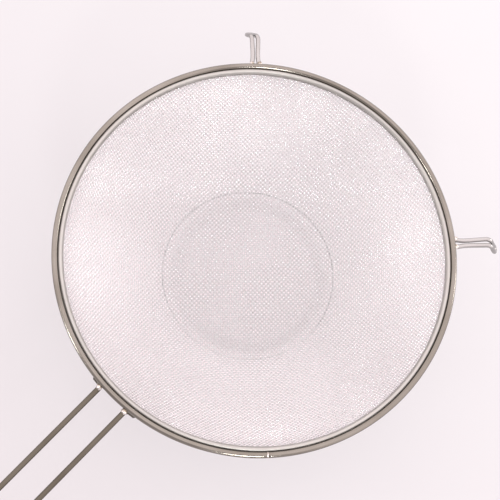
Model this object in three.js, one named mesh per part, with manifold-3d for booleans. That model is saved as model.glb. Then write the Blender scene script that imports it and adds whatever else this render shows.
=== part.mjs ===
// Double sieve strainer: a fine mesh bowl with a wire ring, a wire handle and two hooks,
// and a coarse mesh bowl that sits in it and lifts out.
// Millimetres, +Z up. The origin is the centre of the fine bowl's flat base, on its underside.
// The handle points along -X, and the hooks stand either side of +X.
import * as THREE from 'three';
import { mergeVertices } from 'three/addons/utils/BufferGeometryUtils.js';
import Module from 'manifold-3d';

// Bowls. Both walls are arcs about one centre, so that the bowls nest at an even distance.
const EDGE_RADIUS = 115;           // middle of the coarse bowl's bound edge
const CREASE_RADIUS = 55;          // where the coarse wall meets the base
const DISC_RADIUS = 43;            // flat middle of the coarse base
const CREASE_SLOPE = radians(27);  // wall's slope at the crease
const EDGE_SLOPE = radians(61);    // wall's slope at the bound edge
const CREASE_HEIGHT = 5.3;         // middle of the coarse sheet at the crease
const DISC_HEIGHT = 3.5;           // middle of the coarse sheet in its flat disc
const NEST_DISTANCE = 2.4;         // between the middles of the two sheets, across the wall
const SHEET = 0.5;                 // thickness that stands for a woven sheet

// Folded strips that bind the bowls' edges.
const STRIP = 0.35;                // sheet metal thickness
const COARSE_FOLD_RADIUS = 1.15;   // outside of the fold
const FINE_FOLD_RADIUS = 0.95;
const COARSE_LEGS = { outer: 3.5, inner: 2.2 };
const FINE_LEGS = { outer: 3.5, inner: 1.8 };
const FINE_FOLD_DROP = 1.45;       // the fine fold sits this far down its wall, under the ring

// Ring, handle and hooks, all round wire.
const RING_OUTER_RADIUS = 120;
const RING_WIRE_RADIUS = 1.8;
const SEAM_ANGLE = radians(225.9);
const SEAM_WELD_LENGTH = 0.35;
const HANDLE_WIRE_RADIUS = 1.6;
const HANDLE_HALF_WIDTH = 9.85;    // wire centre to the handle's middle line
const HANDLE_END = 275;            // far end of the handle from the bowl's axis
const HANDLE_BEND = 3;             // radius where a leg turns along the ring
const HANDLE_FOOT = 4;             // length of the foot that runs under the ring
const FOOT_OFFSET = 0.9;           // the foot's centre is this far outside the ring's
const HOOK_WIRE_RADIUS = 1.4;
const HOOKS = [                    // direction from +X, straight length, and the side the tip leans to
  { name: 'hook_left', angle: radians(43.7), shank: 20.5, leanSide: 1 },
  { name: 'hook_right', angle: radians(-42.5), shank: 23, leanSide: -1 },
];
const HOOK_START = 117.7;          // the hook's feet start here, under the ring
const HOOK_BEND = 4;
const HOOK_BEND_ANGLE = radians(60);
const HOOK_DROP = 6;               // straight length after the bend
const HOOK_TIP_LEAN = 2.5;         // sideways lean of the tip, away from +X
const HOOK_FOOT_HALF_WIDTH = 2.4;
const HOOK_PINCH_HALF_WIDTH = 1.6;
const HOOK_TIP_HALF_WIDTH = 1.9;

const GAP = 0.3;                   // room between pieces that touch
const WIRE_ROOM = 0.35;            // the same between round wires, which are cut into flats
const TURN_STEPS = 64;             // flats round the bowls and the ring
const WIRE_SIDES = 10;

const wasm = await Module();
wasm.setup();

function radians(degrees) {
  return THREE.MathUtils.degToRad(degrees);
}

const material = (color, roughness) => new THREE.MeshStandardMaterial({ color, roughness, metalness: 1 });
const finishes = {
  polishedRing: material(0x9a938c, 0.18),
  polishedWire: material(0x8f8a84, 0.22),
  satinStrip: material(0xcfc8c1, 0.35),
  coarseMesh: material(0xded8d6, 0.3),
  fineMesh: material(0xd2ccca, 0.35),
  weld: material(0xb9aca2, 0.45),
};

// ---- Solids, joins and cuts -------------------------------------------------------------

function toSolid(geometry) {
  const bare = geometry.clone();
  bare.deleteAttribute('normal');
  bare.deleteAttribute('uv');
  const merged = mergeVertices(bare, 1e-4);
  const vertProperties = new Float32Array(merged.attributes.position.array);
  const triVerts = new Uint32Array(merged.index.array);
  return new wasm.Manifold(new wasm.Mesh({ numProp: 3, vertProperties, triVerts }));
}

function toGeometry(solid) {
  const { vertProperties, triVerts } = solid.getMesh();
  const geometry = new THREE.BufferGeometry();
  geometry.setAttribute('position', new THREE.BufferAttribute(new Float32Array(vertProperties), 3));
  geometry.setIndex(new THREE.BufferAttribute(new Uint32Array(triVerts), 1));
  geometry.computeVertexNormals();
  return geometry;
}

// What is left of a blank once the tools are cut from it, without any loose scraps.
function cut(blank, tools) {
  const left = tools.reduce((solid, tool) => solid.subtract(toSolid(tool)), toSolid(blank));
  const pieces = left.decompose();
  pieces.sort((a, b) => b.volume() - a.volume());
  return toGeometry(pieces[0]);
}

// An outline of [radius, height] points, anticlockwise, turned about +Z. It starts and ends on
// the axis, or else it is closed on itself here.
function turned(outline) {
  const closed = outline[0][0] === 0 ? outline : [...outline, outline[0]];
  const points = closed.map(([radius, height]) => new THREE.Vector2(radius, height));
  return new THREE.LatheGeometry(points, TURN_STEPS).rotateX(Math.PI / 2);
}

function polar(angle, radius, height) {
  return new THREE.Vector3(radius * Math.cos(angle), radius * Math.sin(angle), height);
}

// A wire's centre line through chosen stations, so that only its bends are finely divided.
class WireLine extends THREE.Curve {
  constructor(stations) {
    super();
    this.stations = stations;
  }

  getPoint(t, target = new THREE.Vector3()) {
    const last = this.stations.length - 1;
    const index = Math.min(Math.floor(t * last + 1e-9), last - 1);
    return target.lerpVectors(this.stations[index], this.stations[index + 1], t * last - index);
  }

  getTangent(t, target = new THREE.Vector3()) {
    const last = this.stations.length - 1;
    const index = Math.round(t * last);
    const here = this.stations[index];
    const before = this.stations[Math.max(index - 1, 0)];
    const after = this.stations[Math.min(index + 1, last)];
    const arriving = here.clone().sub(before).normalize();
    const leaving = after.clone().sub(here).normalize();
    return target.copy(arriving).add(leaving).normalize();
  }

  getUtoTmapping(u) {
    return u;
  }
}

function wire(stations, radius) {
  const section = new THREE.Shape();
  for (let side = 0; side < WIRE_SIDES; side += 1) {
    const angle = (side + 0.5) * 2 * Math.PI / WIRE_SIDES;
    const point = [radius * Math.cos(angle), radius * Math.sin(angle)];
    if (side === 0) section.moveTo(...point);
    else section.lineTo(...point);
  }
  const extrudePath = new WireLine(stations);
  return new THREE.ExtrudeGeometry(section, { steps: stations.length - 1, extrudePath, bevelEnabled: false });
}

// ---- Bowls ------------------------------------------------------------------------------

const WALL_ARC = (EDGE_RADIUS - CREASE_RADIUS) / (Math.sin(EDGE_SLOPE) - Math.sin(CREASE_SLOPE));
const ARC_CENTRE = {
  radius: CREASE_RADIUS - WALL_ARC * Math.sin(CREASE_SLOPE),
  height: CREASE_HEIGHT + WALL_ARC * Math.cos(CREASE_SLOPE),
};
const FINE_CORNER = cornerOfFineBowl();

// The point of a wall at a slope, at a distance outside the coarse sheet's middle.
function wallPoint(slope, outside) {
  const arc = WALL_ARC + outside;
  return [ARC_CENTRE.radius + arc * Math.sin(slope), ARC_CENTRE.height - arc * Math.cos(slope)];
}

// The fine bowl's base is blended into its wall by an arc that starts level.
function cornerOfFineBowl() {
  const [radius, height] = wallPoint(CREASE_SLOPE, NEST_DISTANCE);
  const arc = (height - SHEET / 2) / (1 - Math.cos(CREASE_SLOPE));
  return { arc, start: radius - arc * Math.sin(CREASE_SLOPE), centreHeight: SHEET / 2 + arc };
}

function slopes(from, to, steps) {
  return Array.from({ length: steps + 1 }, (_, step) => from + (to - from) * step / steps);
}

// One face of the coarse sheet, from the axis to the edge; offset is outwards from its middle.
function coarseFace(offset) {
  const baseSlope = Math.atan2(CREASE_HEIGHT - DISC_HEIGHT, CREASE_RADIUS - DISC_RADIUS);
  const discEdge = [DISC_RADIUS + offset * Math.tan(baseSlope / 2), DISC_HEIGHT - offset];
  const creaseTurn = (baseSlope + CREASE_SLOPE) / 2;
  const creaseReach = offset / Math.cos((CREASE_SLOPE - baseSlope) / 2);
  const crease = [
    CREASE_RADIUS + creaseReach * Math.sin(creaseTurn),
    CREASE_HEIGHT - creaseReach * Math.cos(creaseTurn),
  ];
  const wall = slopes(CREASE_SLOPE, EDGE_SLOPE, 6).slice(1).map((slope) => wallPoint(slope, offset));
  return [[0, DISC_HEIGHT - offset], discEdge, crease, ...wall];
}

function fineFace(offset) {
  const corner = slopes(0, CREASE_SLOPE, 3).map((slope) => [
    FINE_CORNER.start + (FINE_CORNER.arc + offset) * Math.sin(slope),
    FINE_CORNER.centreHeight - (FINE_CORNER.arc + offset) * Math.cos(slope),
  ]);
  const top = EDGE_SLOPE - FINE_FOLD_DROP / WALL_ARC;
  const wall = slopes(CREASE_SLOPE, top, 6).slice(1).map((slope) => wallPoint(slope, NEST_DISTANCE + offset));
  return [[0, SHEET / 2 - offset], ...corner, ...wall];
}

function bowl(face) {
  const outside = face(SHEET / 2);
  const inside = face(-SHEET / 2).reverse();
  return turned([...outside, ...inside]);
}

// A strip folded over a bowl's edge: a fold on top, and two legs down the wall's slope.
function foldedStrip([radius, height], slope, legs, foldRadius) {
  const down = [-Math.cos(slope), -Math.sin(slope)];
  const out = [Math.sin(slope), -Math.cos(slope)];
  const at = (across, along) => [
    radius + across * out[0] + along * down[0],
    height + across * out[1] + along * down[1],
  ];
  const fold = (size) => slopes(0, Math.PI, 4).map((turn) => at(size * Math.cos(turn), -size * Math.sin(turn)));
  const inner = foldRadius - STRIP;
  return turned([
    at(foldRadius, legs.outer),
    ...fold(foldRadius),
    at(-foldRadius, legs.inner),
    at(-inner, legs.inner),
    ...fold(inner).reverse(),
    at(inner, legs.outer),
  ]);
}

// ---- Ring, handle and hooks -------------------------------------------------------------

const RING_RADIUS = RING_OUTER_RADIUS - RING_WIRE_RADIUS;
const RING_HEIGHT = wallPoint(EDGE_SLOPE, 0)[1];
const FOOT_RADIUS = RING_RADIUS + FOOT_OFFSET;
const HANDLE_HEIGHT = RING_HEIGHT - Math.sqrt(
  (RING_WIRE_RADIUS + HANDLE_WIRE_RADIUS + WIRE_ROOM) ** 2 - FOOT_OFFSET ** 2,
);
const HOOK_HEIGHT = RING_HEIGHT - RING_WIRE_RADIUS - HOOK_WIRE_RADIUS - WIRE_ROOM;

function closedRing(wireRadius) {
  const outline = Array.from({ length: WIRE_SIDES }, (_, side) => {
    const angle = (side + 0.5) * 2 * Math.PI / WIRE_SIDES;
    return [RING_RADIUS + wireRadius * Math.cos(angle), RING_HEIGHT + wireRadius * Math.sin(angle)];
  });
  return turned(outline);
}

// The ring is one wire, whose two ends meet at a butt joint.
function ring() {
  const slit = new THREE.BoxGeometry(4 * RING_WIRE_RADIUS, SEAM_WELD_LENGTH + 2 * GAP, 4 * RING_WIRE_RADIUS);
  slit.translate(RING_RADIUS, 0, RING_HEIGHT).rotateZ(SEAM_ANGLE);
  return cut(closedRing(RING_WIRE_RADIUS), [slit]);
}

function ringSeamWeld() {
  const weld = new THREE.CylinderGeometry(RING_WIRE_RADIUS, RING_WIRE_RADIUS, SEAM_WELD_LENGTH, WIRE_SIDES);
  return weld.translate(RING_RADIUS, 0, RING_HEIGHT).rotateZ(SEAM_ANGLE);
}

// One wire: a foot under the ring, a leg, the round far end, and the same again on the other side.
function handleStations() {
  const centreY = HANDLE_HALF_WIDTH + HANDLE_BEND;
  const centreX = -Math.sqrt((FOOT_RADIUS + HANDLE_BEND) ** 2 - centreY ** 2);
  const meet = Math.atan2(centreY, -centreX);
  const footTurn = meet + HANDLE_FOOT / FOOT_RADIUS;
  const foot = slopes(footTurn, meet, 2).map((turn) => polar(Math.PI - turn, FOOT_RADIUS, HANDLE_HEIGHT));
  const bend = slopes(meet, Math.PI / 2, 5).slice(1).map((turn) => new THREE.Vector3(
    centreX + HANDLE_BEND * Math.cos(turn),
    centreY - HANDLE_BEND * Math.sin(turn),
    HANDLE_HEIGHT,
  ));
  const loopX = HANDLE_WIRE_RADIUS + HANDLE_HALF_WIDTH - HANDLE_END;
  const loop = slopes(Math.PI / 2, 3 * Math.PI / 2, 12).map((turn) => new THREE.Vector3(
    loopX + HANDLE_HALF_WIDTH * Math.cos(turn),
    HANDLE_HALF_WIDTH * Math.sin(turn),
    HANDLE_HEIGHT,
  ));
  const side = [...foot, ...bend];
  const otherSide = side.map((point) => new THREE.Vector3(point.x, -point.y, point.z)).reverse();
  return [...side, ...loop, ...otherSide];
}

// How far along the hook's side view a length of wire reaches: out, then round the bend and down.
function hookReach(length, shank) {
  const turn = THREE.MathUtils.clamp((length - shank) / HOOK_BEND, 0, HOOK_BEND_ANGLE);
  const after = Math.max(length - shank - HOOK_BEND * HOOK_BEND_ANGLE, 0);
  return {
    out: Math.min(length, shank) + HOOK_BEND * Math.sin(turn) + after * Math.cos(HOOK_BEND_ANGLE),
    down: HOOK_BEND * (1 - Math.cos(turn)) + after * Math.sin(HOOK_BEND_ANGLE),
  };
}

// One wire doubled back on itself: feet apart, pinched along the shank, and a round turned-down tip.
function hookStations({ shank, leanSide }) {
  const whole = shank + HOOK_BEND * HOOK_BEND_ANGLE + HOOK_DROP;
  const smooth = THREE.MathUtils.smoothstep;
  const halfWidth = (length) => HOOK_FOOT_HALF_WIDTH
    + (HOOK_PINCH_HALF_WIDTH - HOOK_FOOT_HALF_WIDTH) * smooth(length, 1, 9)
    + (HOOK_TIP_HALF_WIDTH - HOOK_PINCH_HALF_WIDTH) * smooth(length, 11, shank);
  const point = (length, sideways) => {
    const { out, down } = hookReach(length, shank);
    const lean = leanSide * HOOK_TIP_LEAN * smooth(length, shank - 1, whole);
    return new THREE.Vector3(HOOK_START + out, sideways + lean, HOOK_HEIGHT - down);
  };
  const lengths = [0, 2, 4, 6, 8, 11, 15, shank, ...slopes(shank, whole, 6).slice(1)];
  const one = lengths.map((length) => point(length, halfWidth(length)));
  const tip = slopes(0, Math.PI, 8).slice(1, -1).map((turn) => point(
    whole + HOOK_TIP_HALF_WIDTH * Math.sin(turn),
    HOOK_TIP_HALF_WIDTH * Math.cos(turn),
  ));
  const other = lengths.map((length) => point(length, -halfWidth(length))).reverse();
  return [...one, ...tip, ...other];
}

// ---- Welds ------------------------------------------------------------------------------

// A lump of weld in the nook between the ring and a wire that passes under it.
function weldLump(angle, sideways, size, drop, wireWithRoom) {
  const lump = new THREE.SphereGeometry(1, 10, 7);
  lump.scale(size, size * 0.9, size);
  lump.translate(RING_RADIUS + RING_WIRE_RADIUS + 0.4, sideways, RING_HEIGHT - drop).rotateZ(angle);
  return cut(lump, [closedRing(RING_WIRE_RADIUS + GAP), wireWithRoom]);
}

// ---- Assembly ---------------------------------------------------------------------------

function add(group, name, geometry, finish) {
  const mesh = new THREE.Mesh(geometry, finish);
  mesh.name = name;
  group.add(mesh);
}

const fineSieve = new THREE.Group();
const fineEdge = wallPoint(EDGE_SLOPE - FINE_FOLD_DROP / WALL_ARC, NEST_DISTANCE);
add(fineSieve, 'fine_mesh', bowl(fineFace), finishes.fineMesh);
add(fineSieve, 'fine_edge_strip', foldedStrip(fineEdge, EDGE_SLOPE, FINE_LEGS, FINE_FOLD_RADIUS), finishes.satinStrip);
add(fineSieve, 'ring', ring(), finishes.polishedRing);
add(fineSieve, 'ring_seam_weld', ringSeamWeld(), finishes.weld);

add(fineSieve, 'handle', wire(handleStations(), HANDLE_WIRE_RADIUS), finishes.polishedWire);
const roomyHandle = wire(handleStations(), HANDLE_WIRE_RADIUS + GAP);
for (const [name, side] of [['handle_weld_left', 1], ['handle_weld_right', -1]]) {
  const weld = weldLump(Math.PI, -side * HANDLE_HALF_WIDTH, 2.3, 1.7, roomyHandle);
  add(fineSieve, name, weld, finishes.weld);
}

for (const hook of HOOKS) {
  const stations = hookStations(hook);
  const roomyHook = wire(stations, HOOK_WIRE_RADIUS + GAP).rotateZ(hook.angle);
  add(fineSieve, hook.name, wire(stations, HOOK_WIRE_RADIUS).rotateZ(hook.angle), finishes.polishedWire);
  for (const [foot, side] of [['left', 1], ['right', -1]]) {
    const weld = weldLump(hook.angle, side * HOOK_FOOT_HALF_WIDTH, 2, 1.5, roomyHook);
    add(fineSieve, `${hook.name}_weld_${foot}`, weld, finishes.weld);
  }
}

const coarseSieve = new THREE.Group();
const coarseEdge = wallPoint(EDGE_SLOPE, 0);
add(coarseSieve, 'coarse_mesh', bowl(coarseFace), finishes.coarseMesh);
add(coarseSieve, 'coarse_edge_strip', foldedStrip(coarseEdge, EDGE_SLOPE, COARSE_LEGS, COARSE_FOLD_RADIUS), finishes.satinStrip);

const strainer = new THREE.Group();
strainer.add(fineSieve, coarseSieve);

export default strainer;
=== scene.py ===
"""Double sieve strainer for honey: two bowls of woven stainless wire, the coarse one resting in
the fine one, each bound with a folded strip, on a ring of heavy wire with a handle and two hooks.

Metres, +Z up. The origin is the centre of the fine bowl's flat base. The handle points along -X."""
import math

import bmesh
import bpy
import numpy as np
from mathutils import Matrix, Vector, noise


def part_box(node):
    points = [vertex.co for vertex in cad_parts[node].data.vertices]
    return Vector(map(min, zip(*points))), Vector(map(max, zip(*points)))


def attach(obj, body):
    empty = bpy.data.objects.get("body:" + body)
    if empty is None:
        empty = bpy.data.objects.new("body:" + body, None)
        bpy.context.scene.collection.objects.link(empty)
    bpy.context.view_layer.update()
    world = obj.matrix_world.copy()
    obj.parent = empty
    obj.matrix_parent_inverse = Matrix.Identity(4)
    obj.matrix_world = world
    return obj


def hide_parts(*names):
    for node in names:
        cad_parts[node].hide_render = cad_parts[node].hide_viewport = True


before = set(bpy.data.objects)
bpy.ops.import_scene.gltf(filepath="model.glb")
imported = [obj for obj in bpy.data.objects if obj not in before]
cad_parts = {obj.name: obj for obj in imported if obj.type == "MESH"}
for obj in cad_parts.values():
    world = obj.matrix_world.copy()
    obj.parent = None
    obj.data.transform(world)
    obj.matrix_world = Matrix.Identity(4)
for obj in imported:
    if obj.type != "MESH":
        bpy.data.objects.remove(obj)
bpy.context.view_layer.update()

mm = 0.001
turn = 2 * math.pi

# Bowls. Both walls are arcs about one centre, so that the bowls nest at an even distance.
EDGE_RADIUS = 115 * mm
CREASE_RADIUS = 55 * mm
DISC_RADIUS = 43 * mm
CREASE_SLOPE = math.radians(27)
EDGE_SLOPE = math.radians(61)
CREASE_HEIGHT = 5.3 * mm
DISC_HEIGHT = 3.5 * mm
NEST_DISTANCE = 2.4 * mm
FINE_BASE_HEIGHT = 0.25 * mm
FINE_FOLD_DROP = 1.45 * mm

WALL_ARC = (EDGE_RADIUS - CREASE_RADIUS) / (math.sin(EDGE_SLOPE) - math.sin(CREASE_SLOPE))
ARC_CENTRE_RADIUS = CREASE_RADIUS - WALL_ARC * math.sin(CREASE_SLOPE)
ARC_CENTRE_HEIGHT = CREASE_HEIGHT + WALL_ARC * math.cos(CREASE_SLOPE)

# Wires of the two weaves, and the way the coarse cloth's wires run.
COARSE_PITCH = 1.44 * mm
COARSE_WIRE = 0.17 * mm
FINE_PITCH = 0.8 * mm
FINE_WIRE = 0.09 * mm
CLOTH_TURN = math.radians(-46)
FINE_CLOTH_TURN = math.radians(-31)

# Folded strips.
STRIP = 0.35 * mm
COARSE_FOLD_RADIUS = 1.15 * mm
FINE_FOLD_RADIUS = 0.95 * mm
COARSE_LEGS = (3.5 * mm, 2.2 * mm)
FINE_LEGS = (3.5 * mm, 1.8 * mm)
COARSE_NIP, FINE_NIP = 0.4 * mm, 0.12 * mm

# Ring, handle and hooks. Heights and lengths come from the frame.
ring_low, ring_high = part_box("ring")
RING_HEIGHT = (ring_low[2] + ring_high[2]) / 2
RING_WIRE = 1.8 * mm
RING_RADIUS = 118.2 * mm
SEAM_ANGLE = math.radians(225.9)
handle_low, handle_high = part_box("handle")
HANDLE_HEIGHT = (handle_low[2] + handle_high[2]) / 2
HANDLE_WIRE = 1.6 * mm
HANDLE_HALF_WIDTH = 9.85 * mm
HANDLE_END = -handle_low[0]
HANDLE_BEND = 3 * mm
HANDLE_FOOT = 4 * mm
FOOT_RADIUS = RING_RADIUS + 0.9 * mm
HOOK_WIRE = 1.4 * mm
HOOK_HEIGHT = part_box("hook_left")[1][2] - HOOK_WIRE
HOOKS = {
    "hook_left": (math.radians(43.7), 20.5 * mm, 1),
    "hook_right": (math.radians(-42.5), 23 * mm, -1),
}
HOOK_START = 117.7 * mm
HOOK_BEND = 4 * mm
HOOK_BEND_ANGLE = math.radians(60)
HOOK_DROP = 6 * mm
HOOK_TIP_LEAN = 2.5 * mm
HOOK_FOOT_HALF, HOOK_PINCH_HALF, HOOK_TIP_HALF = 2.4 * mm, 1.6 * mm, 1.9 * mm

# Weld lumps: their size, and how far below the middle of the ring they sit.
HANDLE_WELD = (1.95 * mm, 1.5 * mm)
HOOK_WELD = (1.8 * mm, 1.4 * mm)


# ---- Shader nodes -----------------------------------------------------------------------


class Value:
    """A node's output that can be used in sums as a number is."""

    def __init__(self, finish, socket):
        self.finish, self.socket = finish, socket

    def _with(self, operation, other, swapped=False):
        pair = (other, self) if swapped else (self, other)
        return self.finish.node("ShaderNodeMath", {"operation": operation}, {0: pair[0], 1: pair[1]})

    def __add__(self, other):
        return self._with("ADD", other)

    def __sub__(self, other):
        return self._with("SUBTRACT", other)

    def __rsub__(self, other):
        return self._with("SUBTRACT", other, swapped=True)

    def __mul__(self, other):
        return self._with("MULTIPLY", other)

    def __pow__(self, other):
        return self._with("POWER", other)

    __radd__, __rmul__ = __add__, __mul__


class Finish:
    """One material, and the nodes that make it."""

    def __init__(self, name, metallic=1.0, **constants):
        self.material = bpy.data.materials.new(name)
        self.material.use_nodes = True
        self.tree = self.material.node_tree
        self.shader = self.tree.nodes["Principled BSDF"]
        self.shader.inputs["Metallic"].default_value = metallic
        for socket, value in constants.items():
            self.shader.inputs[socket.replace("_", " ")].default_value = value

    def node(self, kind, settings=None, sockets=None, output=0):
        made = self.tree.nodes.new(kind)
        for setting, value in (settings or {}).items():
            if setting == "stops":
                for stop in range(len(value) - 2):
                    made.color_ramp.elements.new(0.5)
                for element, (place, colour) in zip(made.color_ramp.elements, value):
                    element.position, element.color = place, (*colour, 1)
            else:
                setattr(made, setting, value)
        for socket, value in (sockets or {}).items():
            if isinstance(value, Value):
                self.tree.links.new(value.socket, made.inputs[socket])
            else:
                made.inputs[socket].default_value = value
        return Value(self, made.outputs[output])

    def drive(self, **sockets):
        for socket, value in sockets.items():
            self.tree.links.new(value.socket, self.shader.inputs[socket.replace("_", " ")])

    def place(self, output="Object"):
        return self.node("ShaderNodeTexCoord", output=output)

    def parts(self, vector):
        """A vector's three components."""
        split = self.tree.nodes.new("ShaderNodeSeparateXYZ")
        self.tree.links.new(vector.socket, split.inputs[0])
        return [Value(self, socket) for socket in split.outputs]

    def times(self, first, second):
        """Two colours multiplied. The sockets go by number, because their names repeat."""
        settings = {"data_type": "RGBA", "blend_type": "MULTIPLY"}
        return self.node("ShaderNodeMix", settings, {0: 1.0, 6: first, 7: second}, 2)

    def scaled(self, place, stretch):
        return self.node("ShaderNodeMapping", {}, {"Vector": place, "Scale": stretch})

    def clouds(self, place, scale, detail=3.0, roughness=0.5):
        sockets = {"Vector": place, "Scale": scale, "Detail": detail, "Roughness": roughness}
        return self.node("ShaderNodeTexNoise", {}, sockets, "Fac")

    def ramp(self, value, *stops):
        return self.node("ShaderNodeValToRGB", {"stops": stops}, {"Fac": value}, "Color")

    def between(self, value, low, high, to_low, to_high):
        sockets = {"Value": value, "From Min": low, "From Max": high, "To Min": to_low, "To Max": to_high}
        return self.node("ShaderNodeMapRange", {}, sockets)

    def bump(self, height, distance, strength=1.0):
        sockets = {"Height": height, "Distance": distance, "Strength": strength}
        return self.node("ShaderNodeBump", {}, sockets, "Normal")


# ---- Finishes ---------------------------------------------------------------------------


def drawn_wire(name, dark, light, roughness):
    """Polished wire: fine draw lines along it, and slow changes of tone along its length."""
    finish = Finish(name)
    along = finish.node("ShaderNodeUVMap", {"uv_map": "wire"})
    lines = finish.clouds(finish.scaled(along, (3, 40, 1)), 6, detail=4, roughness=0.6)
    tone = finish.clouds(finish.place(), 38, detail=2)
    smudge = finish.clouds(finish.place(), 160, detail=3)
    colour = finish.ramp(tone * 0.6 + lines * 0.4, (0.3, dark), (0.7, light))
    finish.drive(
        Base_Color=colour,
        Roughness=finish.between(lines * 0.5 + smudge * 0.5, 0.3, 0.7, roughness * 0.75, roughness * 1.35),
        Normal=finish.bump(lines, 0.012 * mm),
    )
    return finish.material


def rolled_strip(name, dark, light, roughness):
    """Thin satin strip with rolling marks that run round with it."""
    finish = Finish(name)
    along = finish.node("ShaderNodeUVMap", {"uv_map": "wire"})
    marks = finish.clouds(finish.scaled(along, (1.2, 30, 1)), 5, detail=4, roughness=0.65)
    tone = finish.clouds(finish.place(), 45, detail=2)
    finish.drive(
        Base_Color=finish.ramp(marks * 0.5 + tone * 0.5, (0.3, dark), (0.7, light)),
        Roughness=finish.between(marks, 0.3, 0.7, roughness * 0.8, roughness * 1.2),
        Normal=finish.bump(marks, 0.02 * mm),
    )
    return finish.material


def painted_crease_shade(finish, place):
    """Painted shade on the cloth: a thin dark line along the crease, and a darker ring inside it, uneven in
    strength.
    """
    x, y, _ = finish.parts(place)
    radius = (x * x + y * y) ** 0.5
    shade_patchiness = finish.clouds(place, 26, detail=3)

    def ring(start, end, soft):
        rise = finish.between(radius, start - soft, start + soft, 0.0, 1.0)
        return rise * finish.between(radius, end - soft, end + soft, 1.0, 0.0)

    # Painted shade: the colour is darkened on the crease line and on the ring of slope inside it.
    line = ring(CREASE_RADIUS - 0.4 * mm, CREASE_RADIUS + 0.4 * mm, 0.2 * mm)
    darker = ring(DISC_RADIUS + 0.5 * mm, CREASE_RADIUS - 4.5 * mm, 1.5 * mm)
    crease_shade_depth = finish.between(shade_patchiness, 0.4, 0.58, 0.1, 0.4)
    ring_shade_depth = finish.between(shade_patchiness, 0.4, 0.6, 0.1, 0.04)
    return 1.0 - line * crease_shade_depth - darker * ring_shade_depth


def woven_wire(name, bright, darker, roughness, paint_crease_shade=False):
    """Bright wire of a woven cloth, with painted highlights: on the upper side the warp's crowns are painted
    brighter than the weft's, in patches over the cloth. On the lower side it is the other way round. If
    asked, painted shade is added at the crease."""
    finish = Finish(name)
    place = finish.place()
    crown = finish.parts(finish.node("ShaderNodeUVMap", {"uv_map": "wire"}))[0]
    tone = finish.clouds(place, 24, detail=2)
    # Painted highlight: one set of crowns is painted brighter, more in some patches than others, in place of
    # glints from the lamps.
    glint_patches = finish.between(finish.clouds(place, 19, detail=1), 0.42, 0.6, 0.5, 1.3)
    grain = finish.clouds(place, 900, detail=2)
    share = (crown - 0.5) * glint_patches + 0.5 + (tone - 0.5) * 0.5 + (grain - 0.5) * 0.1
    colour = finish.ramp(share, (0.0, bright), (1.0, darker))
    # Painted shade along the crease and on the ring inside it, multiplied into the colour.
    if paint_crease_shade:
        colour = finish.times(colour, painted_crease_shade(finish, place))
    finish.drive(
        Base_Color=colour,
        Roughness=finish.between(grain, 0.3, 0.7, roughness * 0.85, roughness * 1.2),
    )
    return finish.material


def heat_tinted_weld(name, roughness):
    """Weld metal, frosty white in the middle with straw and brown tints towards its edge."""
    finish = Finish(name)
    tint = finish.clouds(finish.place(), 420, detail=3, roughness=0.6)
    pits = finish.clouds(finish.place(), 1500, detail=3)
    colour = finish.ramp(
        tint,
        (0.34, (0.13, 0.10, 0.08)),
        (0.44, (0.42, 0.36, 0.28)),
        (0.52, (0.66, 0.61, 0.58)),
        (0.66, (0.74, 0.70, 0.69)),
    )
    finish.drive(
        Base_Color=colour,
        Roughness=finish.between(pits, 0.3, 0.7, roughness * 0.7, roughness * 1.4),
        Normal=finish.bump(pits, 0.08 * mm),
    )
    return finish.material


# ---- Meshes -----------------------------------------------------------------------------


def piece(name, mesh, body, slot, material, *nodes):
    """A mesh as a piece of the object, in place of the CAD nodes that it stands for."""
    made = bpy.data.objects.new(name, mesh)
    bpy.context.scene.collection.objects.link(made)
    mesh.materials.append(material)
    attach(made, body)
    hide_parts(*nodes)
    return made


def mesh_of_quads(name, points, quads, uv=None):
    """A smooth mesh from an (n, 3) array of points, an (m, 4) array of faces and their corners' UVs."""
    mesh = bpy.data.meshes.new(name)
    mesh.vertices.add(len(points))
    mesh.vertices.foreach_set("co", np.asarray(points, np.float32).ravel())
    mesh.loops.add(quads.size)
    mesh.loops.foreach_set("vertex_index", quads.astype(np.int32).ravel())
    mesh.polygons.add(len(quads))
    mesh.polygons.foreach_set("loop_start", np.arange(0, quads.size, 4, dtype=np.int32))
    mesh.update(calc_edges=True)
    mesh.shade_smooth()
    if uv is not None:
        mesh.uv_layers.new(name="wire").data.foreach_set("uv", np.asarray(uv, np.float32).ravel())
    return mesh


def grid_quads(rows, columns, close_rows=False):
    """Faces between the points of a grid whose columns close on themselves."""
    row = np.arange(rows if close_rows else rows - 1)[:, None]
    column = np.arange(columns)[None, :]
    after, beside = (row + 1) % rows, (column + 1) % columns
    here, there = row * columns, after * columns
    corners = (here + column, here + beside, there + beside, there + column)
    return np.stack(np.broadcast_arrays(*corners), -1).reshape(-1, 4)


def grid_uv(rows, columns, lengths):
    """UVs for grid_quads: the length along in centimetres, and the share of a turn round."""
    row = np.arange(rows - 1)[:, None]
    column = np.arange(columns)[None, :] / columns
    step = 1 / columns
    u = np.asarray(lengths) * 100
    here, there = u[row] + 0 * column, u[row + 1] + 0 * column
    low, high = 0 * row + column, 0 * row + column + step
    corners = [np.stack(pair, -1) for pair in ((here, low), (here, high), (there, high), (there, low))]
    return np.stack(corners, 2).reshape(-1, 2)


def lengths_along(path):
    steps = np.linalg.norm(np.diff(path, axis=0), axis=1)
    return np.concatenate([[0], np.cumsum(steps)])


def unit(vectors):
    return vectors / np.linalg.norm(vectors, axis=-1, keepdims=True)


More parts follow.
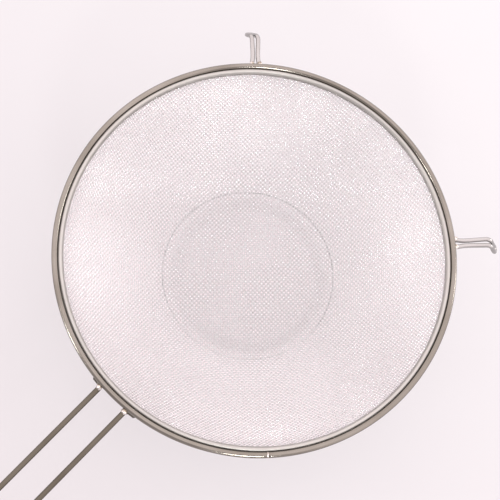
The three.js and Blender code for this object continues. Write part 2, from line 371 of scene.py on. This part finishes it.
def round_wire(name, path, radius, sides=20, end_bevel=0.3 * mm):
    """A round wire along a path, its cut ends slightly bevelled."""
    path = np.asarray(path, float)
    tangents = unit(np.gradient(path, axis=0))
    first, last = path[0], path[-1]
    start_bevel, last_bevel = first + tangents[0] * end_bevel, last - tangents[-1] * end_bevel
    path = np.concatenate([[first], [start_bevel], path[1:-1], [last_bevel], [last]])
    radii = np.full(len(path), radius)
    radii[0] = radii[-1] = radius - end_bevel
    tangents = unit(np.gradient(path, axis=0))
    across = [unit(np.cross(tangents[0], (0.0, 0.0, 1.0)))]
    for tangent in tangents[1:]:
        across.append(unit(across[-1] - tangent * (across[-1] @ tangent)))
    across = np.array(across)
    up = np.cross(across, tangents)
    angles = np.arange(sides) * turn / sides
    rings = path[:, None] + radii[:, None, None] * (
        np.cos(angles)[None, :, None] * across[:, None] + np.sin(angles)[None, :, None] * up[:, None]
    )
    return swept(name, rings)


def swept(name, rings):
    """A tube through rings of points, closed by a flat face at each end."""
    rows, columns = rings.shape[:2]
    points = rings.reshape(-1, 3)
    quads = grid_quads(rows, columns)
    uv = grid_uv(rows, columns, lengths_along(rings.mean(axis=1)))
    faces = [tuple(int(corner) for corner in quad) for quad in quads]
    start_cap = tuple(range(columns))[::-1]
    end_cap = tuple(range((rows - 1) * columns, rows * columns))
    mesh = bpy.data.meshes.new(name)
    mesh.from_pydata([tuple(point) for point in points], [], [*faces, start_cap, end_cap])
    mesh.shade_smooth()
    layer = mesh.uv_layers.new(name="wire")
    caps = np.zeros((2 * columns, 2))
    layer.data.foreach_set("uv", np.concatenate([uv, caps]).astype(np.float32).ravel())
    for cap in mesh.polygons[-2:]:
        cap.use_smooth = False
    face_outwards(mesh)
    return mesh


def face_outwards(mesh):
    """Turns every face over if the mesh came out inside out."""
    mesh.calc_loop_triangles()
    corners = np.empty(len(mesh.loop_triangles) * 3, np.int32)
    mesh.loop_triangles.foreach_get("vertices", corners)
    points = np.empty(len(mesh.vertices) * 3)
    mesh.vertices.foreach_get("co", points)
    a, b, c = (points.reshape(-1, 3)[corners.reshape(-1, 3)[:, k]] for k in range(3))
    if np.einsum("ij,ij->i", a, np.cross(b, c)).sum() < 0:
        mesh.flip_normals()


def turned(name, outline, steps=256):
    """A closed outline of (radius, height) points, turned about +Z."""
    outline = np.asarray(outline)
    angles = np.arange(steps) * turn / steps
    radius, height = outline[:, 0], outline[:, 1]
    rings = np.stack(
        [np.outer(np.cos(angles), radius), np.outer(np.sin(angles), radius), np.tile(height, (steps, 1))], -1
    )
    closed = np.concatenate([rings, rings[:1]])
    uv = grid_uv(steps + 1, len(outline), lengths_along(closed.mean(axis=1) + closed[:, 0]) / 2)
    mesh = mesh_of_quads(name, rings.reshape(-1, 3), grid_quads(steps, len(outline), close_rows=True), uv)
    face_outwards(mesh)
    return mesh


# ---- Bowls and their cloth --------------------------------------------------------------


def wall_point(slope, outside):
    """The point of a wall at a slope, this far outside the coarse sheet's middle."""
    arc = WALL_ARC + outside
    return np.array([ARC_CENTRE_RADIUS + arc * math.sin(slope), ARC_CENTRE_HEIGHT - arc * math.cos(slope)])


class Bowl:
    """A bowl's middle surface: its height at any distance from the axis."""

    TABLE_STEP = 0.1 * mm
    BEYOND = math.radians(3)  # the table runs on past the edge, so that wires can be cut to length there

    def __init__(self, outline, bend_width):
        outline = np.asarray(outline)
        self.radii = np.arange(0, outline[-1, 0], self.TABLE_STEP)
        heights = np.interp(self.radii, outline[:, 0], outline[:, 1])
        spread = int(bend_width / self.TABLE_STEP / 2)
        before = np.full(spread, heights[0])
        beyond = heights[-1] + np.diff(heights)[-1] * np.arange(1, spread + 1)
        padded = np.concatenate([before, heights, beyond])
        self.heights = np.convolve(padded, np.full(2 * spread + 1, 1 / (2 * spread + 1)), "valid")
        self.slopes = np.gradient(self.heights, self.TABLE_STEP)

    def points(self, flat):
        """The surface points over an (n, 2) array of plan positions."""
        height = np.interp(np.linalg.norm(flat, axis=-1), self.radii, self.heights)
        return np.concatenate([flat, height[..., None]], -1)

    def gradients(self, flat):
        radius = np.linalg.norm(flat, axis=-1, keepdims=True)
        slope = np.interp(radius, self.radii, self.slopes)
        return flat * slope / np.maximum(radius, 1e-9)

    def normals(self, flat):
        return unit(np.concatenate([-self.gradients(flat), np.ones(flat.shape[:-1] + (1,))], -1))

    def meridian(self, pitch, count):
        """Plan distances from the axis of points spaced evenly up the bowl."""
        climbed = lengths_along(np.stack([self.radii, self.heights], -1))
        return np.interp(np.arange(count) * pitch, climbed, self.radii, right=np.nan)


def wall_outline(outside):
    return [wall_point(slope, outside) for slope in np.linspace(CREASE_SLOPE, EDGE_SLOPE + Bowl.BEYOND, 60)]


def coarse_bowl():
    return Bowl([(0, DISC_HEIGHT), (DISC_RADIUS, DISC_HEIGHT), *wall_outline(0)], 0.6 * mm)


def fine_bowl():
    start_radius, start_height = wall_point(CREASE_SLOPE, NEST_DISTANCE)
    corner = (start_height - FINE_BASE_HEIGHT) / (1 - math.cos(CREASE_SLOPE))
    flat_radius = start_radius - corner * math.sin(CREASE_SLOPE)
    turning = np.linspace(0, CREASE_SLOPE, 24)
    base = [
        (flat_radius + corner * math.sin(a), FINE_BASE_HEIGHT + corner * (1 - math.cos(a)))
        for a in turning
    ]
    return Bowl([(0, FINE_BASE_HEIGHT), *base, *wall_outline(NEST_DISTANCE)[1:]], 1.2 * mm)


def draped_quadrant(bowl, pitch, reach):
    """Plan positions of a cloth's crossings, laid over the bowl from its two middle wires.

    The wires keep their length: crossing [i, j] is one pitch from [i - 1, j] and from [i, j - 1],
    so the cloth shears between the middle wires, as pressed wire cloth does."""
    axis = bowl.meridian(pitch, int(2 * reach / pitch))
    axis = axis[~np.isnan(axis)]
    count = len(axis)
    cloth = np.full((count, count, 2), np.nan)
    cloth[:, 0] = np.stack([axis, 0 * axis], -1)
    cloth[0, :] = np.stack([0 * axis, axis], -1)
    for diagonal in range(2, 2 * count - 1):
        i = np.arange(max(1, diagonal - count + 1), min(count - 1, diagonal - 1) + 1)
        j = diagonal - i
        held = ~np.isnan(cloth[i - 1, j, 0] + cloth[i, j - 1, 0])
        i, j = i[held], j[held]
        if not len(i):
            break
        behind, below = cloth[i - 1, j], cloth[i, j - 1]
        from_behind, from_below = bowl.points(behind), bowl.points(below)
        guess = behind + below - cloth[i - 1, j - 1]
        for _ in range(6):
            here, gradient = bowl.points(guess), bowl.gradients(guess)
            to_behind, to_below = here - from_behind, here - from_below
            error_a = (to_behind**2).sum(-1) - pitch**2
            error_b = (to_below**2).sum(-1) - pitch**2
            row_a = 2 * (to_behind[:, :2] + to_behind[:, 2:] * gradient)
            row_b = 2 * (to_below[:, :2] + to_below[:, 2:] * gradient)
            size = row_a[:, 0] * row_b[:, 1] - row_a[:, 1] * row_b[:, 0]
            step_x = (error_a * row_b[:, 1] - error_b * row_a[:, 1]) / size
            step_y = (row_a[:, 0] * error_b - row_b[:, 0] * error_a) / size
            guess = guess - np.clip(np.stack([step_x, step_y], -1), -pitch, pitch)
        guess[np.linalg.norm(guess, axis=-1) > reach + 1.6 * pitch] = np.nan
        cloth[i, j] = guess
    return cloth


def draped_cloth(bowl, pitch, reach, direction, unevenness, seed):
    """The whole cloth's crossings in plan, with each wire set a little off its even place."""
    quadrant = draped_quadrant(bowl, pitch, reach)
    right = np.concatenate([quadrant[:, :0:-1] * (1, -1), quadrant], axis=1)
    whole = np.concatenate([right[:0:-1] * (-1, 1), right], axis=0)
    random = np.random.default_rng(seed)
    whole[..., 0] += random.normal(0, unevenness, whole.shape[0])[:, None]
    whole[..., 1] += random.normal(0, unevenness, whole.shape[1])[None, :]
    cosine, sine = math.cos(direction), math.sin(direction)
    return whole @ np.array([[cosine, sine], [-sine, cosine]])


def cut_to_reach(line, reach):
    """The crossings of one wire that lie inside the edge, with a cut end at the edge each way."""
    inside = np.flatnonzero(np.linalg.norm(line, axis=-1) < reach)
    if len(inside) < 3:
        return None
    first, last = inside[0], inside[-1]
    ends = []
    for inner, outer in ((first, first - 1), (last, last + 1)):
        if outer < 0 or outer >= len(line) or np.isnan(line[outer, 0]):
            ends.append(line[inner])
            continue
        near, far = np.linalg.norm(line[inner]), np.linalg.norm(line[outer])
        ends.append(line[inner] + (line[outer] - line[inner]) * (reach - near) / (far - near))
    return first, line[first:last + 1], ends


def woven_wire_rings(bowl, line, reach, over_first, wire, spots):
    """Rings of four points along one wire, which passes over and under its neighbours."""
    cut = cut_to_reach(line, reach)
    if cut is None:
        return None
    first, crossings, (start, end) = cut
    ahead = np.concatenate([crossings[1:], [end]])
    behind = np.concatenate([[start], crossings[:-1]])
    side = np.where((np.arange(len(crossings)) + first + over_first) % 2 == 0, 1.0, -1.0)
    flat, offset = [], []
    for spot in spots:
        neighbour = ahead if spot > 0 else behind
        flat.append(crossings + abs(spot) * (neighbour - crossings))
        offset.append(side * wire)
    flat = np.stack(flat, 1).reshape(-1, 2)
    offset = np.stack(offset, 1).ravel()
    flat = np.concatenate([[start], flat, [end]])
    offset = np.concatenate([[0.0], offset, [0.0]])
    normals = bowl.normals(flat)
    centres = bowl.points(flat) + normals * offset[:, None]
    tangents = unit(np.gradient(centres, axis=0))
    across = unit(np.cross(tangents, normals))
    outwards = np.cross(across, tangents)
    half = wire * 1.12  # a square section of about a round wire's size
    section = (outwards * half, across * half, -outwards * half, -across * half)
    return np.stack([centres + corner for corner in section], 1), np.sign(offset)


def woven_mesh(name, all_rings, sign):
    """One mesh from many wires, each closed by a face at both ends."""
    points, quads, sides, start = [], [], [], 0
    for rings, side in all_rings:
        rows = len(rings)
        sides.append(side)
        faces = grid_quads(rows, 4)[:, ::-1] + start
        caps = np.array([[0, 1, 2, 3], [4 * rows - 1, 4 * rows - 2, 4 * rows - 3, 4 * rows - 4]]) + start
        points.append(rings.reshape(-1, 3))
        quads.extend([faces, caps])
        start += 4 * rows
    quads = np.concatenate(quads)
    crown = np.repeat(np.concatenate(sides), 4)[quads.ravel()]
    uv = np.stack([0.5 + 0.5 * sign * crown, 0 * crown + 0.5], -1)
    mesh = mesh_of_quads(name, np.concatenate(points), quads, uv)
    face_outwards(mesh)
    return mesh


def weave(node, bowl, cloth, reach, wire, spots, parts, body, slot, material):
    """Both sets of wires of one cloth, each set as a few pieces of about equal size."""
    sets = {"warp": cloth, "weft": cloth.transpose(1, 0, 2)}
    for name, lines in sets.items():
        rings = []
        for index in range(lines.shape[1]):
            over_first = index + (name == "weft")
            made = woven_wire_rings(bowl, lines[:, index], reach, over_first, wire, spots)
            if made is not None:
                rings.append(made)
        share = np.cumsum([len(one) for one, _ in rings])
        part_of = np.minimum((share * parts / share[-1]).astype(int), parts - 1)
        for part in range(parts):
            group = [one for one, chosen in zip(rings, part_of) if chosen == part]
            part_name = f"{node}_{name}_{part + 1}"
            mesh = woven_mesh(part_name, group, 1 if name == "weft" else -1)
            piece(part_name, mesh, body, slot, material, node)


def folded_strip(name, edge, slope, legs, size, nip):
    """A strip folded over a bowl's edge: a round fold, and two legs pressed in against the cloth."""
    down = np.array([-math.cos(slope), -math.sin(slope)])
    out = np.array([math.sin(slope), -math.cos(slope)])

    def at(across, along):
        return np.asarray(edge) + across * out + along * down

    def fold(radius):
        return [at(radius * math.cos(a), -radius * math.sin(a)) for a in np.linspace(0, math.pi, 17)]

    inner = size - STRIP
    outline = [
        at(size - nip, legs[0]),
        at(size, legs[0] * 0.8),
        *fold(size),
        at(-size, legs[1] * 0.4),
        at(-size + nip, legs[1]),
        at(-inner + nip, legs[1]),
        *fold(inner)[::-1],
        at(inner - nip, legs[0]),
    ]
    return turned(name, outline)


# ---- Ring, handle, hooks and welds ------------------------------------------------------


def polar(angle, radius, height):
    return np.array([radius * math.cos(angle), radius * math.sin(angle), height])


def ring_path(start, end, steps):
    return [polar(angle, RING_RADIUS, RING_HEIGHT) for angle in np.linspace(start, end, steps)]


def handle_path():
    """A foot under the ring, a leg, the round far end, and the same again on the other side."""
    centre_y = HANDLE_HALF_WIDTH + HANDLE_BEND
    centre_x = -math.sqrt((FOOT_RADIUS + HANDLE_BEND) ** 2 - centre_y**2)
    meet = math.atan2(centre_y, -centre_x)
    foot_turn = meet + HANDLE_FOOT / FOOT_RADIUS
    side = [polar(math.pi - a, FOOT_RADIUS, HANDLE_HEIGHT) for a in np.linspace(foot_turn, meet, 6)]
    for a in np.linspace(meet, turn / 4, 10)[1:]:
        x, y = centre_x + HANDLE_BEND * math.cos(a), centre_y - HANDLE_BEND * math.sin(a)
        side.append(np.array([x, y, HANDLE_HEIGHT]))
    loop_x = HANDLE_WIRE + HANDLE_HALF_WIDTH - HANDLE_END
    for x in np.linspace(centre_x, loop_x, 24)[1:-1]:
        side.append(np.array([x, HANDLE_HALF_WIDTH, HANDLE_HEIGHT]))
    loop = [
        np.array([loop_x + HANDLE_HALF_WIDTH * math.cos(a), HANDLE_HALF_WIDTH * math.sin(a), HANDLE_HEIGHT])
        for a in np.linspace(turn / 4, turn * 3 / 4, 28)
    ]
    return [*side, *loop, *(point * (1, -1, 1) for point in reversed(side))]


def smoothstep(value, low, high):
    share = min(max((value - low) / (high - low), 0.0), 1.0)
    return share * share * (3 - 2 * share)


def hook_path(angle, shank, lean_side):
    """One wire doubled back on itself: feet apart, pinched along the shank, its tip turned down."""
    bend = HOOK_BEND * HOOK_BEND_ANGLE
    whole = shank + bend + HOOK_DROP

    def point(length, sideways):
        turned_by = min(max((length - shank) / HOOK_BEND, 0.0), HOOK_BEND_ANGLE)
        after = max(length - shank - bend, 0.0)
        out = min(length, shank) + HOOK_BEND * math.sin(turned_by) + after * math.cos(HOOK_BEND_ANGLE)
        down = HOOK_BEND * (1 - math.cos(turned_by)) + after * math.sin(HOOK_BEND_ANGLE)
        lean = lean_side * HOOK_TIP_LEAN * smoothstep(length, shank - 1 * mm, whole)
        return np.array([HOOK_START + out, sideways + lean, HOOK_HEIGHT - down])

    def half_width(length):
        pinch = (HOOK_PINCH_HALF - HOOK_FOOT_HALF) * smoothstep(length, 1 * mm, 9 * mm)
        return HOOK_FOOT_HALF + pinch + (HOOK_TIP_HALF - HOOK_PINCH_HALF) * smoothstep(length, 11 * mm, shank)

    straight, drop = np.linspace(0, shank, 16)[:-1], np.linspace(shank + bend, whole, 4)[1:]
    lengths = [*straight, *np.linspace(shank, shank + bend, 9), *drop]
    one = [point(length, half_width(length)) for length in lengths]
    tip = [
        point(whole + HOOK_TIP_HALF * math.sin(a), HOOK_TIP_HALF * math.cos(a))
        for a in np.linspace(0, math.pi, 13)[1:-1]
    ]
    other = [point(length, -half_width(length)) for length in reversed(lengths)]
    path = np.array([*one, *tip, *other])
    cosine, sine = math.cos(angle), math.sin(angle)
    return path @ np.array([[cosine, sine, 0], [-sine, cosine, 0], [0, 0, 1]])


def weld_lump(name, angle, sideways, size, drop):
    """A lump of weld in the nook between the ring and a wire that passes under it."""
    mesh = bpy.data.meshes.new(name)
    form = bmesh.new()
    bmesh.ops.create_icosphere(form, subdivisions=4, radius=1)
    middle = Vector((RING_RADIUS + RING_WIRE + 0.3 * mm, sideways, RING_HEIGHT - drop))
    for vertex in form.verts:
        lumps = 1 + 0.16 * noise.noise(vertex.co * 1.7 + middle * 300)
        vertex.co = Vector((vertex.co.x, vertex.co.y * 0.9, vertex.co.z)) * size * lumps + middle
    bmesh.ops.rotate(form, verts=form.verts, cent=(0, 0, 0), matrix=Matrix.Rotation(angle, 3, "Z"))
    form.to_mesh(mesh)
    form.free()
    mesh.shade_smooth()
    return mesh


# ---- The object -------------------------------------------------------------------------

ring_finish = drawn_wire("polished_ring", (0.18, 0.163, 0.138), (0.29, 0.27, 0.24), 0.16)
hook_finish = drawn_wire("bright_wire", (0.30, 0.29, 0.28), (0.48, 0.47, 0.46), 0.14)
wire_finish = drawn_wire("polished_wire", (0.085, 0.074, 0.056), (0.14, 0.126, 0.102), 0.2)
strip_finish = rolled_strip("satin_strip", (0.42, 0.41, 0.385), (0.50, 0.49, 0.465), 0.5)
coarse_finish = woven_wire("coarse_mesh_wire", (1.0, 0.98, 0.985), (0.76, 0.73, 0.735), 0.26, paint_crease_shade=True)
fine_finish = woven_wire("fine_mesh_wire", (0.88, 0.855, 0.86), (0.82, 0.795, 0.80), 0.3)
weld_finish = heat_tinted_weld("heat_tinted_weld", 0.35)

coarse, fine = coarse_bowl(), fine_bowl()
FINE_EDGE_SLOPE = EDGE_SLOPE - FINE_FOLD_DROP / WALL_ARC
fine_edge = wall_point(FINE_EDGE_SLOPE, NEST_DISTANCE)
coarse_cloth = draped_cloth(coarse, COARSE_PITCH, EDGE_RADIUS, CLOTH_TURN, 0.004 * mm, 7)
weave("coarse_mesh", coarse, coarse_cloth, EDGE_RADIUS, COARSE_WIRE, (-0.25, 0.25), 3,
      "coarse_sieve", "coarse_mesh", coarse_finish)
fine_cloth = draped_cloth(fine, FINE_PITCH, fine_edge[0], FINE_CLOTH_TURN, 0.008 * mm, 8)
weave("fine_mesh", fine, fine_cloth, fine_edge[0], FINE_WIRE, (0.0,), 5,
      "fine_sieve", "fine_mesh", fine_finish)

coarse_strip = folded_strip("coarse_edge_fold", wall_point(EDGE_SLOPE, 0), EDGE_SLOPE, COARSE_LEGS,
                            COARSE_FOLD_RADIUS, COARSE_NIP)
piece("coarse_edge_fold", coarse_strip, "coarse_sieve", "edge_strip", strip_finish, "coarse_edge_strip")
fine_strip = folded_strip("fine_edge_fold", fine_edge, EDGE_SLOPE, FINE_LEGS, FINE_FOLD_RADIUS, FINE_NIP)
piece("fine_edge_fold", fine_strip, "fine_sieve", "edge_strip", strip_finish, "fine_edge_strip")

SEAM_HALF = 0.3 * mm / RING_RADIUS
ring_mesh = round_wire("ring_wire", ring_path(SEAM_ANGLE + SEAM_HALF, SEAM_ANGLE + turn - SEAM_HALF, 360),
                       RING_WIRE, sides=28, end_bevel=0.15 * mm)
piece("ring_wire", ring_mesh, "fine_sieve", "polished_ring", ring_finish, "ring")
seam_path = ring_path(SEAM_ANGLE - 1.2 * SEAM_HALF, SEAM_ANGLE + 1.2 * SEAM_HALF, 5)
seam_mesh = round_wire("ring_seam_bead", seam_path, RING_WIRE + 0.04 * mm, sides=28, end_bevel=0.12 * mm)
piece("ring_seam_bead", seam_mesh, "fine_sieve", "weld", weld_finish, "ring_seam_weld")

handle_mesh = round_wire("handle_wire", handle_path(), HANDLE_WIRE, end_bevel=0.9 * mm)
piece("handle_wire", handle_mesh, "fine_sieve", "polished_wire", wire_finish, "handle")
for foot, side in (("left", 1), ("right", -1)):
    name = f"handle_weld_{foot}"
    lump = weld_lump(f"{name}_lump", math.pi, -side * HANDLE_HALF_WIDTH, *HANDLE_WELD)
    piece(f"{name}_lump", lump, "fine_sieve", "weld", weld_finish, name)

for hook, (angle, shank, lean_side) in HOOKS.items():
    hook_mesh = round_wire(f"{hook}_wire", hook_path(angle, shank, lean_side), HOOK_WIRE)
    piece(f"{hook}_wire", hook_mesh, "fine_sieve", "polished_wire", hook_finish, hook)
    for foot, side in (("left", 1), ("right", -1)):
        name = f"{hook}_weld_{foot}"
        lump = weld_lump(f"{name}_lump", angle, side * HOOK_FOOT_HALF, *HOOK_WELD)
        piece(f"{name}_lump", lump, "fine_sieve", "weld", weld_finish, name)


# ---- Floor, light and camera ------------------------------------------------------------


def pale_floor():
    finish = Finish("pale_floor", metallic=0.0, Roughness=0.6, Emission_Strength=0.63)
    x, y, _ = finish.parts(finish.place())
    grain = finish.clouds(finish.place(), 4)
    # Painted light: the floor's colour and glow are darker towards -X and lighter towards +X, and the glow
    # lightens the shade under the bowl.
    level = finish.between(x + (grain - 0.5) * 0.2, -0.3, 0.3, 0.0, 1.0)
    tone = finish.ramp(level, (0.0, (0.76, 0.71, 0.73)), (1.0, (0.91, 0.88, 0.90)))
    finish.drive(Base_Color=finish.times(tone, (0.25, 0.25, 0.25, 1)), Emission_Color=tone)
    half = 20.0
    mesh = bpy.data.meshes.new("floor")
    corners = [(-half, -half, 0), (half, -half, 0), (half, half, 0), (-half, half, 0)]
    mesh.from_pydata(corners, [], [(0, 1, 2, 3)])
    mesh.materials.append(finish.material)
    floor = bpy.data.objects.new("floor", mesh)
    floor.location.z = -0.2 * mm
    bpy.context.scene.collection.objects.link(floor)


def direction(azimuth, elevation):
    level = math.cos(elevation)
    return Vector((level * math.cos(azimuth), level * math.sin(azimuth), math.sin(elevation)))


def soft_light(name, azimuth, elevation, distance, size, power):
    """A square soft light that looks at the bowl."""
    lamp = bpy.data.lights.new(name, "AREA")
    lamp.size, lamp.energy = size, power
    light = bpy.data.objects.new(name, lamp)
    away = direction(math.radians(azimuth), math.radians(elevation))
    light.location = away * distance + Vector((0, 0, RING_HEIGHT))
    light.rotation_euler = away.to_track_quat("Z", "Y").to_euler()
    bpy.context.scene.collection.objects.link(light)


def studio():
    """Bright surroundings, a little brighter overhead and darker on one side, and three soft lamps."""
    world = bpy.data.worlds.new("studio")
    bpy.context.scene.world = world
    world.use_nodes = True
    nodes, links = world.node_tree.nodes, world.node_tree.links
    background = nodes["Background"]
    place = nodes.new("ShaderNodeTexCoord")

    def falls(direction, start, end, high, low):
        """A level that falls from high to low as the view turns towards a direction."""
        toward = nodes.new("ShaderNodeVectorMath")
        toward.operation = "DOT_PRODUCT"
        toward.inputs[1].default_value = direction
        links.new(place.outputs["Generated"], toward.inputs[0])
        level = nodes.new("ShaderNodeMapRange")
        level.interpolation_type = "SMOOTHSTEP"
        sockets = {"From Min": start, "From Max": end, "To Min": high, "To Max": low}
        for socket, value in sockets.items():
            level.inputs[socket].default_value = value
        links.new(toward.outputs["Value"], level.inputs["Value"])
        return level.outputs[0]

    overhead = falls((0, 0, 1), 0.86, 0.96, 1.85, 2.0)
    dark_side = falls((-0.92, -0.25, 0.3), 0.35, 0.85, 1.0, 0.4)
    both = nodes.new("ShaderNodeMath")
    both.operation = "MULTIPLY"
    links.new(overhead, both.inputs[0])
    links.new(dark_side, both.inputs[1])
    links.new(both.outputs[0], background.inputs["Strength"])
    background.inputs["Color"].default_value = (1.0, 0.91, 0.925, 1)
    soft_light("key", 225, 30, 1.6, 0.3, 9)
    soft_light("left_lamp", 320, 14, 1.6, 0.25, 2.5)
    soft_light("right_lamp", 150, 14, 1.6, 0.25, 4.5)
    bpy.context.scene.view_settings.view_transform = "Standard"


def camera():
    azimuth, elevation, roll = math.radians(202.893), math.radians(74.124), math.radians(21.119)
    distance = 628.45 * mm
    aim = Vector((-2.61 * mm, 3.87 * mm, RING_HEIGHT))
    back = direction(azimuth, elevation)
    level = (-back).cross(Vector((0, 0, 1))).normalized()
    up = level.cross(-back)
    right = level * math.cos(roll) + up * math.sin(roll)
    top = up * math.cos(roll) - level * math.sin(roll)
    seen = bpy.data.cameras.new("camera")
    seen.lens, seen.sensor_width = 76.8, 36
    made = bpy.data.objects.new("camera", seen)
    turned_to_aim = Matrix((right, top, back)).transposed().to_4x4()
    made.matrix_world = Matrix.Translation(aim + back * distance) @ turned_to_aim
    bpy.context.scene.collection.objects.link(made)
    bpy.context.scene.camera = made


pale_floor()
studio()
camera()
